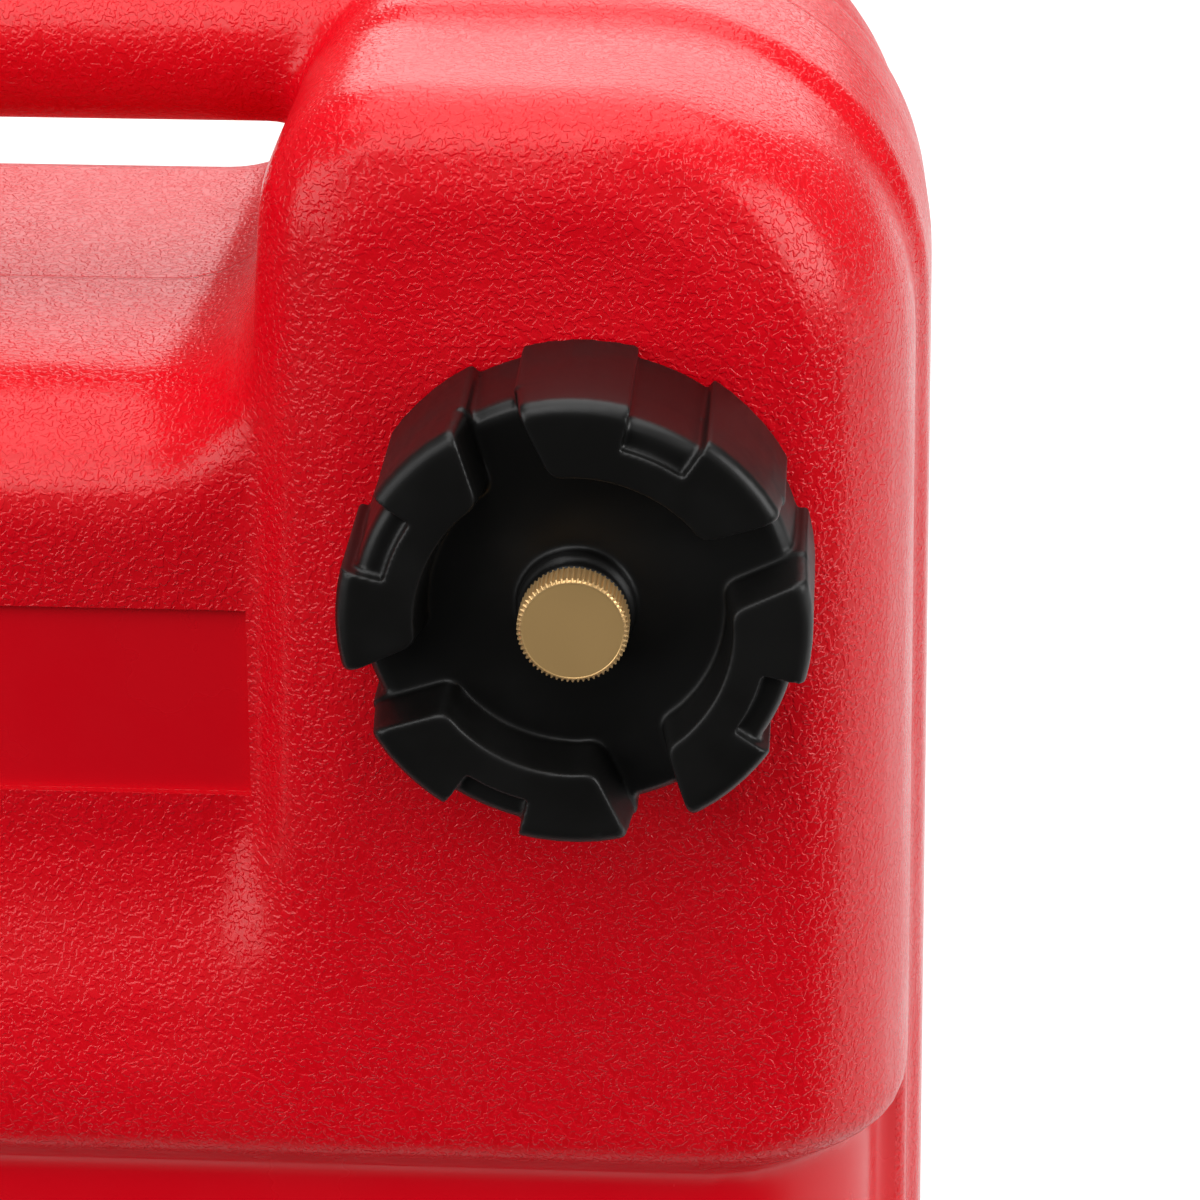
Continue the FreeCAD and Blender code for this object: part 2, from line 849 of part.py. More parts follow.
def elbow_seal():
    seal = ring(seal_radius, elbow_spigot_radius, outlet_face, elbow_base)
    seal.translate(Vector(0, outlet_rise, 0))
    return seal


def connector_seal():
    return ring(seal_radius, connector_stem_radius, connector_base, collar_base)


def hose_connector():
    stem_low = connector_base - connector_stem_length
    flats = [compass(collar_radius, 60 * i, collar_base) for i in range(7)]
    collar = Part.Face(Part.makePolygon(flats)).extrude(Vector(0, 0, collar_height))
    nipple = disc(nipple_radius, nipple_base, nipple_top)
    nipple = nipple.makeChamfer(nipple_edge, edges_above(nipple, nipple_top))
    body = collar.fuse([nipple, disc(connector_stem_radius, stem_low, collar_base)])
    return body.cut([
        disc(valve_ledge_bore, stem_low, spring_base),
        disc(valve_bore, spring_base, valve_seat),
        disc(valve_mouth, valve_seat, nipple_top),
    ])


def valve_pin():
    head = disc(valve_head_radius, spring_top, valve_seat)
    return head.fuse(disc(valve_pin_radius, valve_seat, nipple_top))


def valve_spring():
    pitch = (spring_top - spring_base - 2 * spring_wire) / spring_turns
    turns = []
    for i in range(spring_turns):
        turn = Part.makeHelix(pitch, pitch, spring_radius)
        turn.translate(Vector(0, 0, i * pitch))
        turns += turn.Edges
    wire = Part.Wire(Part.makeCircle(spring_wire, Vector(spring_radius, 0, 0), Vector(0, 1, 0)))
    spring = Part.Wire(turns).makePipeShell([wire], True, True)
    spring.translate(Vector(0, 0, spring_base + spring_wire))
    return spring


os.makedirs("parts", exist_ok=True)
pieces = {
    "tank_body": tank_body(),
    "filler_cap": at_filler(filler_cap()),
    "cap_gasket": at_filler(cap_gasket()),
    "splash_guard": at_filler(splash_guard()),
    "vent_bush": at_filler(vent_bush()),
    "vent_screw": at_filler(vent_screw()),
    "vent_seal": at_filler(vent_seal()),
    "vent_clip": at_filler(vent_clip()),
    "gauge_head": at_head(gauge_head()),
    "head_gasket": at_head(head_gasket()),
    "gauge_dial": gauge_axis(gauge_dial()),
    "gauge_lens": gauge_axis(gauge_lens()),
    "gauge_bezel": gauge_axis(gauge_bezel()),
    "needle_magnet": gauge_axis(needle_magnet()),
    "gauge_needle": gauge_axis(gauge_needle()),
    "needle_pin": gauge_axis(needle_pin()),
    "pivot_pin": gauge_axis(pivot_pin()),
    "drive_magnet": gauge_axis(drive_magnet()),
    "arm_clip": gauge_axis(arm_clip()),
    "float_arm": gauge_axis(float_arm()),
    "level_float": gauge_axis(level_float()),
    "float_clip": gauge_axis(float_clip()),
    "pickup_tube": pickup_tube(),
    "strainer": strainer(),
    "outlet_elbow": at_head(outlet_elbow()),
    "elbow_seal": at_head(elbow_seal()),
    "connector_seal": at_outlet(connector_seal()),
    "hose_connector": at_outlet(hose_connector()),
    "valve_pin": at_outlet(valve_pin()),
    "valve_spring": at_outlet(valve_spring()),
}
for number, screw in enumerate(screw_places(head_screw()), 1):
    pieces["head_screw_" + str(number)] = at_head(screw)
for number, insert in enumerate(screw_places(screw_insert()), 1):
    pieces["screw_insert_" + str(number)] = at_head(insert)
for name, shape in pieces.items():
    shape.exportStep("parts/" + name + ".step")
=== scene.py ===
import json
import math
import bmesh
import bpy
from mathutils import Matrix, Vector


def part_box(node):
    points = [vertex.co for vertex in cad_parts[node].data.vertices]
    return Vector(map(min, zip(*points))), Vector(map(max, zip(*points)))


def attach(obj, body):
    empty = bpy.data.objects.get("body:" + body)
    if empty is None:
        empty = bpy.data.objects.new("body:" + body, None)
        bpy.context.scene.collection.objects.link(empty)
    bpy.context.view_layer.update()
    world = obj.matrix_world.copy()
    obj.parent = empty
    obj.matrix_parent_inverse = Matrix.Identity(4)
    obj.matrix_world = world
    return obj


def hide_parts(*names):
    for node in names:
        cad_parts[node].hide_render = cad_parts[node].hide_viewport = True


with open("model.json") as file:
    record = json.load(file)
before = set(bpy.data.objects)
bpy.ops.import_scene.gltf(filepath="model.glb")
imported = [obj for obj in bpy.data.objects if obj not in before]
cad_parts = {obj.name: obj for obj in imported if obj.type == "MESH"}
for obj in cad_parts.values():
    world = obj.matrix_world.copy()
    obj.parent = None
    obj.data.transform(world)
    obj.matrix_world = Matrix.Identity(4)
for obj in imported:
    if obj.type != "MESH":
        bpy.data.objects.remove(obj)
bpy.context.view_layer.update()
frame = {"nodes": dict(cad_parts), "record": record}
print("frame loaded with", len(frame["nodes"]), "nodes")

mm = 0.001
capLow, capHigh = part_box("filler_cap")
headLow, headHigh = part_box("gauge_head")
magnetLow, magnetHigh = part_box("drive_magnet")
tankLow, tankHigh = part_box("tank_body")


def middle(low, high):
    return (low + high) / 2


capHeight = 32.0
faceY = capLow.y + capHeight * mm  # the front face, where the heights of the fittings start
frontLimit = faceY + 20 * mm  # what lies ahead of this is the front face
fillerX, fillerZ = middle(capLow, capHigh).x, middle(capLow, capHigh).z
headX, headZ = middle(headLow, headHigh).x, middle(headLow, headHigh).z
gaugeZ = middle(magnetLow, magnetHigh).z


def onFront(x, z):
    # local X right, Y up and Z out of the front face, in millimetres
    turn = Matrix(((1, 0, 0, 0), (0, 0, -1, 0), (0, 1, 0, 0), (0, 0, 0, 1)))
    return Matrix.Translation((x, faceY, z)) @ turn @ Matrix.Scale(mm, 4)


def meshPiece(name, mesh):
    piece = bpy.data.objects.new(name, mesh)
    bpy.context.scene.collection.objects.link(piece)
    return piece


def fromBmesh(name, built):
    mesh = bpy.data.meshes.new(name)
    built.to_mesh(mesh)
    built.free()
    return meshPiece(name, mesh)


def settle(piece):
    # applies the live modifiers and leaves a plain mesh
    graph = bpy.context.evaluated_depsgraph_get()
    mesh = bpy.data.meshes.new_from_object(piece.evaluated_get(graph), depsgraph=graph)
    piece.modifiers.clear()
    old = piece.data
    piece.data = mesh
    bpy.data.meshes.remove(old)
    mesh.name = piece.name
    return piece


def drop(piece):
    mesh = piece.data
    bpy.data.objects.remove(piece)
    bpy.data.meshes.remove(mesh)


def smoothShade(piece, angle=35):
    piece.data.shade_smooth()
    piece.data.set_sharp_from_angle(angle=math.radians(angle))
    return piece


def mergedCopy(node, name):
    built = bmesh.new()
    built.from_mesh(frame["nodes"][node].data)
    bmesh.ops.remove_doubles(built, verts=built.verts, dist=0.001 * mm)
    return fromBmesh(name, built)


def joined(name, pieces):
    built = bmesh.new()
    for piece in pieces:
        built.from_mesh(piece.data)
        drop(piece)
    return fromBmesh(name, built)


def soften(piece, voxel, passes, faceShare):
    # one skin over everything, with the edges rounded as a mould leaves them
    skin = piece.modifiers.new("skin", "REMESH")
    skin.mode = "VOXEL"
    skin.voxel_size = voxel
    skin.use_smooth_shade = True
    smooth = piece.modifiers.new("smooth", "SMOOTH")
    smooth.factor = 0.5
    smooth.iterations = passes
    fewer = piece.modifiers.new("fewer", "DECIMATE")
    fewer.ratio = faceShare
    return settle(piece)


def cutBy(piece, cutter, solver="MANIFOLD"):
    cut = piece.modifiers.new("cut", "BOOLEAN")
    cut.operation = "DIFFERENCE"
    cut.solver = solver
    cut.object = cutter
    settle(piece)
    drop(cutter)
    return piece


def boxPiece(name, low, high):
    built = bmesh.new()
    size = [h - l for l, h in zip(low, high)]
    centre = [(l + h) / 2 for l, h in zip(low, high)]
    place = Matrix.Translation(centre) @ Matrix.Diagonal((*size, 1))
    bmesh.ops.create_cube(built, size=1, matrix=place)
    return fromBmesh(name, built)


def turnedPiece(name, profile, place, segments=96):
    # closed (radius, height) profile turned about the local Z axis
    built = bmesh.new()
    rings = []
    for step in range(segments):
        angle = 2 * math.pi * step / segments
        rings.append([built.verts.new((r * math.cos(angle), r * math.sin(angle), h)) for r, h in profile])
    count = len(profile)
    for step in range(segments):
        here, there = rings[step], rings[(step + 1) % segments]
        for i in range(count):
            j = (i + 1) % count
            built.faces.new((here[i], there[i], there[j], here[j]))
    bmesh.ops.remove_doubles(built, verts=built.verts, dist=0.0001)
    bmesh.ops.recalc_face_normals(built, faces=built.faces)
    built.transform(place)
    return fromBmesh(name, built)


# shader node groups

def newGroup(name, inputs, outputs):
    tree = bpy.data.node_groups.new(name, "ShaderNodeTree")
    for label, kind, value in inputs:
        socket = tree.interface.new_socket(label, in_out="INPUT", socket_type=kind)
        if value is not None:
            socket.default_value = value
    for label, kind in outputs:
        tree.interface.new_socket(label, in_out="OUTPUT", socket_type=kind)
    return tree, tree.nodes.new("NodeGroupInput"), tree.nodes.new("NodeGroupOutput")


def mathNode(tree, operation, first, second=None, third=None):
    node = tree.nodes.new("ShaderNodeMath")
    node.operation = operation
    for socket, value in zip(node.inputs, (first, second, third)):
        if value is None:
            continue
        if isinstance(value, (int, float)):
            socket.default_value = value
        else:
            tree.links.new(value, socket)
    return node.outputs[0]


def noiseNode(tree, vector, scale, detail=3.0, roughness=0.5):
    node = tree.nodes.new("ShaderNodeTexNoise")
    tree.links.new(vector, node.inputs["Vector"])
    if isinstance(scale, (int, float)):
        node.inputs["Scale"].default_value = scale
    else:
        tree.links.new(scale, node.inputs["Scale"])
    node.inputs["Detail"].default_value = detail
    node.inputs["Roughness"].default_value = roughness
    return node


def rangeNode(tree, value, low, high, newLow=0.0, newHigh=1.0):
    node = tree.nodes.new("ShaderNodeMapRange")
    node.interpolation_type = "SMOOTHSTEP"
    tree.links.new(value, node.inputs["Value"])
    for label, number in (("From Min", low), ("From Max", high), ("To Min", newLow), ("To Max", newHigh)):
        node.inputs[label].default_value = number
    return node.outputs["Result"]


def pebbleGrainGroup():
    # low rounded pebbles and worms that stand on flat ground, with a mask of the creases between them where
    # shade is painted
    tree, ins, outs = newGroup(
        "pebbleGrain",
        [("Vector", "NodeSocketVector", None), ("Pebbles per metre", "NodeSocketFloat", 650.0)],
        [("Height", "NodeSocketFloat"), ("Painted crease shade", "NodeSocketFloat")])
    density = ins.outputs["Pebbles per metre"]
    place = ins.outputs["Vector"]
    worms = noiseNode(tree, place, density, 1.0, 0.4)
    worms.inputs["Distortion"].default_value = 0.5
    plateau = rangeNode(tree, worms.outputs["Fac"], 0.43, 0.60)
    soft = noiseNode(tree, place, mathNode(tree, "MULTIPLY", density, 1.7), 0.0)
    height = mathNode(tree, "ADD", plateau, mathNode(tree, "MULTIPLY", soft.outputs["Fac"], 0.22))
    tree.links.new(height, outs.inputs["Height"])
    tree.links.new(rangeNode(tree, worms.outputs["Fac"], 0.36, 0.46, 1.0, 0.0), outs.inputs["Painted crease shade"])
    return tree


def wearGroup():
    # slow smudges for roughness, and pale rubbed edges
    tree, ins, outs = newGroup(
        "handlingWear",
        [("Vector", "NodeSocketVector", None), ("Smudges per metre", "NodeSocketFloat", 30.0),
         ("Edge reach", "NodeSocketFloat", 0.56)],
        [("Smudge", "NodeSocketFloat"), ("Edge", "NodeSocketFloat")])
    broad = noiseNode(tree, ins.outputs["Vector"], ins.outputs["Smudges per metre"], 4.0, 0.6)
    tree.links.new(rangeNode(tree, broad.outputs["Fac"], 0.35, 0.68), outs.inputs["Smudge"])
    shape = tree.nodes.new("ShaderNodeNewGeometry")
    edge = tree.nodes.new("ShaderNodeMapRange")
    tree.links.new(shape.outputs["Pointiness"], edge.inputs["Value"])
    tree.links.new(ins.outputs["Edge reach"], edge.inputs["From Max"])
    edge.inputs["From Min"].default_value = 0.5
    broken = mathNode(tree, "MULTIPLY", edge.outputs["Result"], broad.outputs["Fac"])
    tree.links.new(broken, outs.inputs["Edge"])
    return tree


pebbleGrain = pebbleGrainGroup()
handlingWear = wearGroup()


def newMaterial(name, colour, roughness, metallic=0.0):
    material = bpy.data.materials.new(name)
    material.use_nodes = True
    tree = material.node_tree
    shader = tree.nodes["Principled BSDF"]
    shader.inputs["Base Color"].default_value = (*colour, 1)
    shader.inputs["Roughness"].default_value = roughness
    shader.inputs["Metallic"].default_value = metallic
    place = tree.nodes.new("ShaderNodeTexCoord").outputs["Object"]
    return material, tree, shader, place


def addGroup(tree, group, place, **values):
    node = tree.nodes.new("ShaderNodeGroup")
    node.node_tree = group
    tree.links.new(place, node.inputs["Vector"])
    for label, value in values.items():
        node.inputs[label.replace("_", " ")].default_value = value
    return node


def mixColour(tree, share, first, second):
    node = tree.nodes.new("ShaderNodeMix")
    node.data_type = "RGBA"
    tree.links.new(share, node.inputs["Factor"])
    for socket, value in ((node.inputs[6], first), (node.inputs[7], second)):
        if isinstance(value, tuple):
            socket.default_value = (*value, 1)
        else:
            tree.links.new(value, socket)
    return node.outputs[2]


def addBump(tree, shader, height, distance, strength=1.0):
    bump = tree.nodes.new("ShaderNodeBump")
    bump.inputs["Distance"].default_value = distance
    bump.inputs["Strength"].default_value = strength
    tree.links.new(height, bump.inputs["Height"])
    tree.links.new(bump.outputs["Normal"], shader.inputs["Normal"])
    return bump


def plainFinish(name, s):
    # a moulded or machined surface with a fine grain, smudges and rubbed edges
    material, tree, shader, place = newMaterial(name, s["colour"], s["roughness"], s.get("metallic", 0.0))
    shader.inputs["Specular IOR Level"].default_value = s.get("specular", 0.35)
    wear = addGroup(tree, handlingWear, place)
    paler = tuple(c + (1 - c) * s.get("rub", 0.06) for c in s["colour"])
    tree.links.new(mixColour(tree, wear.outputs["Edge"], s["colour"], paler), shader.inputs["Base Color"])
    low, high = s["roughness"] - s.get("rubbed", 0.04), s["roughness"] + s.get("smudge", 0.07)
    tree.links.new(rangeNode(tree, wear.outputs["Smudge"], 0, 1, low, high), shader.inputs["Roughness"])
    fine = noiseNode(tree, place, s.get("grain", 2600.0), 2.0)
    addBump(tree, shader, fine.outputs["Fac"], s.get("depth", 0.010) * mm, 0.6)
    return material


# red polyethylene of the tank; the crease colour is a darker red painted as shade into the grain's creases
# and along the parting line
redPlastic = {
    "colour": (0.62, 0.0008, 0.0075), "paintedShadeColour": (0.57, 0.0005, 0.0055), "roughness": 0.21,
    "smudge": 0.07, "specular": 0.45, "tint": (1.0, 0.86, 0.84),
    "pebblesPerMetre": 960.0, "pebbleDepth": 0.11, "patchesPerMetre": 55.0, "patchLeast": 0.75,
    "seamFromBack": 86.0, "seamHalf": 0.8, "seamCore": 0.2, "seamDepth": 1.6, "seamShade": 0.75,
    "plateHalf": 47.5, "plateLow": 139.8, "plateHigh": 174.3, "plateSoft": 0.05,
    "skirtLow": 26.0, "skirtHigh": 74.0, "skirtSoft": 1.0, "pillarHalf": 44.0,
}


def insideMask(tree, value, low, high, soft):
    up = rangeNode(tree, value, low - soft, low + soft)
    down = rangeNode(tree, value, high - soft, high + soft, 1.0, 0.0)
    return mathNode(tree, "MULTIPLY", up, down)


def redPlasticMaterial(s):
    material, tree, shader, place = newMaterial("redPolyethylene", s["colour"], s["roughness"])
    shader.inputs["Specular IOR Level"].default_value = s["specular"]
    shader.inputs["Specular Tint"].default_value = (*s["tint"], 1)
    grain = addGroup(tree, pebbleGrain, place, Pebbles_per_metre=s["pebblesPerMetre"])
    wear = addGroup(tree, handlingWear, place)
    split = tree.nodes.new("ShaderNodeSeparateXYZ")
    tree.links.new(place, split.inputs[0])

    # the plate and the lower panel are smooth
    acrossX = mathNode(tree, "ABSOLUTE", split.outputs["X"])
    front = mathNode(tree, "LESS_THAN", split.outputs["Y"], frontLimit)
    plate = mathNode(tree, "LESS_THAN", acrossX, s["plateHalf"] * mm)
    plate = mathNode(tree, "MULTIPLY", plate, front)
    level = insideMask(tree, split.outputs["Z"], s["plateLow"] * mm, s["plateHigh"] * mm, s["plateSoft"] * mm)
    plate = mathNode(tree, "MULTIPLY", plate, level)
    seamY = tankHigh.y - s["seamFromBack"] * mm
    fromSeam = mathNode(tree, "ABSOLUTE", mathNode(tree, "SUBTRACT", split.outputs["Y"], seamY))
    skirt = mathNode(tree, "GREATER_THAN", fromSeam, s["pillarHalf"] * mm)
    level = insideMask(tree, split.outputs["Z"], s["skirtLow"] * mm, s["skirtHigh"] * mm, s["skirtSoft"] * mm)
    skirt = mathNode(tree, "MULTIPLY", skirt, level)
    smooth = mathNode(tree, "MAXIMUM", plate, skirt)
    rough = mathNode(tree, "SUBTRACT", 1.0, smooth)

    # grain of uneven strength, and the parting line round the middle of the body
    patchy = noiseNode(tree, place, s["patchesPerMetre"], 3.0)
    strength = rangeNode(tree, patchy.outputs["Fac"], 0.3, 0.7, s["patchLeast"], 1.0)
    height = mathNode(tree, "MULTIPLY", grain.outputs["Height"], strength)
    height = mathNode(tree, "MULTIPLY", height, rough)
    seam = rangeNode(tree, fromSeam, s["seamHalf"] * mm * s["seamCore"], s["seamHalf"] * mm, 1.0, 0.0)
    sunk = mathNode(tree, "MULTIPLY", seam, s["seamDepth"])
    addBump(tree, shader, mathNode(tree, "SUBTRACT", height, sunk), s["pebbleDepth"] * mm)
    # the grain's creases get a darker red: painted shade
    paintedShade = mathNode(tree, "MULTIPLY", grain.outputs["Painted crease shade"], rough)
    # the parting line gets the same darker red: painted shade along its groove
    paintedShade = mathNode(tree, "MAXIMUM", paintedShade, mathNode(tree, "MULTIPLY", seam, s["seamShade"]))
    colour = mixColour(tree, paintedShade, s["colour"], s["paintedShadeColour"])
    tree.links.new(colour, shader.inputs["Base Color"])
    gloss = rangeNode(tree, wear.outputs["Smudge"], 0, 1, s["roughness"], s["roughness"] + s["smudge"])
    tree.links.new(gloss, shader.inputs["Roughness"])
    return material


# tank body
tank = {
    "voxel": 1.8, "smoothPasses": 12, "faceShare": 0.34,
    "panelDepth": 11.0, "plateSink": 1.6, "plug": 0.4,
    "footAt": (58.0, 108.0), "footReach": (26.0, 34.0), "footPasses": 90, "footRelax": 0.7,
}


def softenFoot(shell, s):
    # the panel's foot runs out into the front in a broad hollow on both sides
    group = shell.vertex_groups.new(name="foot")
    for vertex in shell.data.vertices:
        x, y, z = vertex.co / mm
        if y * mm > frontLimit:
            continue
        acrossFoot = (abs(x) - s["footAt"][0]) / s["footReach"][0]
        upFoot = (z - s["footAt"][1]) / s["footReach"][1]
        away = math.hypot(acrossFoot, upFoot)
        if away < 1:
            group.add([vertex.index], (1 - away * away) ** 2, "REPLACE")
    relax = shell.modifiers.new("relax", "SMOOTH")
    relax.vertex_group = "foot"
    relax.factor = s["footRelax"]
    relax.iterations = s["footPasses"]
    fewer = shell.modifiers.new("fewer", "DECIMATE")
    fewer.ratio = s["faceShare"]
    settle(shell)
    shell.vertex_groups.clear()


def tankShell(s, red):
    # the plate's pocket is filled before the skin is made, and cut again with crisp edges
    shell = mergedCopy("tank_body", "tankShell")
    depth = faceY + s["panelDepth"] * mm
    half, plug, sink = red["plateHalf"] * mm, s["plug"] * mm, s["plateSink"] * mm
    low, high = red["plateLow"] * mm, red["plateHigh"] * mm
    filler = boxPiece("plug", (-half - plug, depth, low - plug),
                      (half + plug, depth + sink + plug, high + plug))
    shell = joined("tankShell", [shell, filler])
    shell = soften(shell, s["voxel"] * mm, s["smoothPasses"], 1.0)
    softenFoot(shell, s)
    pocket = boxPiece("pocket", (-half, depth - 5 * mm, low), (half, depth + sink, high))
    shell = cutBy(shell, pocket, "EXACT")
    return smoothShade(shell, 40)


print("tank shell")
shell = tankShell(tank, redPlastic)
shell.data.materials.clear()
shell.data.materials.append(redPlasticMaterial(redPlastic))
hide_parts("tank_body")
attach(shell, "tank")
print("tank shell has", len(shell.data.polygons), "faces")


# filler cap, with heights from the front face and angles clockwise from the top
cap = {
    "height": capHeight, "gap": 0.8, "discFace": 21.3, "discUnder": 18.1,
    "radius": 36.0, "footRadius": 36.5, "bore": 31.3, "edge": 2.6,
    "bossRadius": 9.6, "bossEdge": 0.5, "bossShoulder": 24.3, "seatRadius": 8.6, "bossTop": 26.3,
    "bushBore": 5.5, "rimRound": 2.4, "innerRound": 0.5, "cornerRound": 2.0,
    "lobes": 4, "lobeOuter": 38.3, "lobeInner": 25.3, "lobeFootSpread": 1.1, "lobeFootTurn": 1.5,
    "innerStart": -8.3, "innerEnd": 54.5, "outerStart": -14.0, "outerEnd": 60.5,
    "notchStart": 13.8, "notchEnd": 33.7, "notchInner": 31.2, "notchStep": 2.0,
    "voxel": 0.42, "smoothPasses": 5, "faceShare": 0.32,
}


def clockPoint(radius, angle, height):
    turn = math.radians(angle)
    return (radius * math.sin(turn), radius * math.cos(turn), height)


def roundCorner(before, corner, after, radius, steps=5):
    start = corner + (before - corner).normalized() * min(radius, (before - corner).length * 0.9)
    end = corner + (after - corner).normalized() * min(radius, (after - corner).length * 0.9)
    shares = [i / steps for i in range(steps + 1)]
    return [start.lerp(corner, t).lerp(corner.lerp(end, t), t) for t in shares]


def sectorPiece(name, levels, radius, steps=14):
    # closed block between rings of (inner, innerStart, innerEnd, outer, outerStart, outerEnd, height)
    built = bmesh.new()
    loops = []
    for inner, innerStart, innerEnd, outer, outerStart, outerEnd, height in levels:
        near = math.degrees(radius / inner)
        far = math.degrees(radius / outer)
        corners = [Vector(clockPoint(r, a, height)) for r, a in (
            (inner, innerStart), (inner, innerEnd), (outer, outerEnd), (outer, outerStart))]
        shares = [i / steps for i in range(1, steps)]
        innerSpan = innerEnd - innerStart - 2 * near
        outerSpan = outerStart - outerEnd + 2 * far
        innerArc = [Vector(clockPoint(inner, innerStart + near + innerSpan * t, height)) for t in shares]
        outerArc = [Vector(clockPoint(outer, outerEnd - far + outerSpan * t, height)) for t in shares]
        loop = roundCorner(corners[3], corners[0], innerArc[0], radius) + innerArc
        loop += roundCorner(innerArc[-1], corners[1], corners[2], radius)
        loop += roundCorner(corners[1], corners[2], outerArc[0], radius) + outerArc
        loop += roundCorner(outerArc[-1], corners[3], corners[0], radius)
        loops.append([built.verts.new(point) for point in loop])
    for below, above in zip(loops, loops[1:]):
        for i in range(len(below)):
            j = (i + 1) % len(below)
            built.faces.new((below[i], below[j], above[j], above[i]))
    built.faces.new(loops[0][::-1])
    built.faces.new(loops[-1])
    bmesh.ops.triangulate(built, faces=built.faces)
    bmesh.ops.recalc_face_normals(built, faces=built.faces)
    return fromBmesh(name, built)


def capLobe(s):
    turn = s["lobeFootTurn"]
    foot = (s["lobeInner"] - s["lobeFootSpread"], s["innerStart"] - turn, s["innerEnd"] + turn,
            s["lobeOuter"], s["outerStart"] - turn, s["outerEnd"] + turn, s["discFace"] - 1)
    top = [s["lobeInner"], s["innerStart"], s["innerEnd"], s["lobeOuter"], s["outerStart"], s["outerEnd"]]
    levels = [foot]
    steps = 5
    for step in range(steps + 1):
        angle = math.pi / 2 * step / steps
        drawIn, rise = 1 - math.cos(angle), math.sin(angle)
        inner, outer = s["innerRound"] * drawIn, s["rimRound"] * drawIn
        height = s["height"] - s["rimRound"] * (1 - rise)
        side = math.degrees(inner / s["lobeInner"])
        levels.append((top[0] + inner, top[1] + side, top[2] - side,
                       top[3] - outer, top[4] + side, top[5] - side, height))
    ribBase = (s["bore"] + 1.5, s["outerStart"] - turn, s["outerEnd"] + turn,
               s["lobeOuter"], s["outerStart"] - turn, s["outerEnd"] + turn, s["gap"])
    ribTop = (*ribBase[:-1], s["discFace"])
    lobe = sectorPiece("lobe", levels, s["cornerRound"])
    rib = sectorPiece("rib", [ribBase, ribTop], s["cornerRound"] / 2)
    pieces = []
    for piece in (lobe, rib):
        pieces.append(cutBy(piece, notchCutter(s)))
    return joined("lobe", pieces)


def notchCutter(s):
    # the notch's flat floor ends in a rounded shoulder
    steps = 10
    floor = s["height"] - s["notchStep"]
    spare = 1  # the cutter stands past what it cuts
    wide, high = s["lobeOuter"] + 2 * spare, s["height"] + spare
    profile = [(s["radius"], -spare), (wide, -spare), (wide, high)]
    profile += [(s["notchInner"], high), (s["notchInner"], floor)]
    for step in range(steps + 1):
        angle = math.pi / 2 * step / steps
        drawIn, fall = s["rimRound"] * (1 - math.sin(angle)), s["rimRound"] * (1 - math.cos(angle))
        profile.append((s["radius"] - drawIn, floor - fall))
    built = bmesh.new()
    rings = []
    for i in range(steps + 1):
        angle = s["notchStart"] + (s["notchEnd"] - s["notchStart"]) * i / steps
        rings.append([built.verts.new(clockPoint(r, angle, h)) for r, h in profile])
    count = len(profile)
    for here, there in zip(rings, rings[1:]):
        for i in range(count):
            j = (i + 1) % count
            built.faces.new((here[i], here[j], there[j], there[i]))
    built.faces.new(rings[0][::-1])
    built.faces.new(rings[-1])
    bmesh.ops.triangulate(built, faces=built.faces)
    bmesh.ops.recalc_face_normals(built, faces=built.faces)
    return fromBmesh("notch", built)


def capBody(s):
    near, far = s["edge"] * 0.1, s["edge"] * 0.55  # two points on the rounded rim
    profile = [
        (s["bushBore"], s["discUnder"]), (s["bore"], s["discUnder"]), (s["bore"], s["gap"]),
        (s["footRadius"], s["gap"]), (s["radius"], s["discFace"] - s["edge"]),
        (s["radius"] - near, s["discFace"] - far), (s["radius"] - far, s["discFace"] - near),
        (s["radius"] - s["edge"], s["discFace"]),
        (s["bossRadius"], s["discFace"]), (s["bossRadius"], s["bossShoulder"] - s["bossEdge"]),
        (s["bossRadius"] - s["bossEdge"], s["bossShoulder"]), (s["seatRadius"], s["bossShoulder"]),
        (s["seatRadius"], s["bossTop"]), (s["bushBore"], s["bossTop"]),
    ]
    base = turnedPiece("base", profile, Matrix.Identity(4), 120)
    lobe = capLobe(s)
    pieces = [base]
    for i in range(s["lobes"]):
        copy = lobe.data.copy()
        copy.transform(Matrix.Rotation(2 * math.pi * i / s["lobes"], 4, "Z"))
        pieces.append(meshPiece("lobe", copy))
    drop(lobe)
    body = joined("capBody", pieces)
    body = soften(body, s["voxel"], s["smoothPasses"], s["faceShare"])
    body.data.transform(onFront(fillerX, fillerZ))
    return smoothShade(body, 50)


print("filler cap")
blackPlastic = plainFinish("blackPlastic", {
    "colour": (0.0022, 0.0020, 0.0017), "roughness": 0.42, "specular": 0.40,
    "rub": 0.008, "depth": 0.012,
})
capPiece = capBody(cap)
capPiece.data.materials.append(blackPlastic)
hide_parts("filler_cap")
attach(capPiece, "cap")
print("cap has", len(capPiece.data.polygons), "faces")


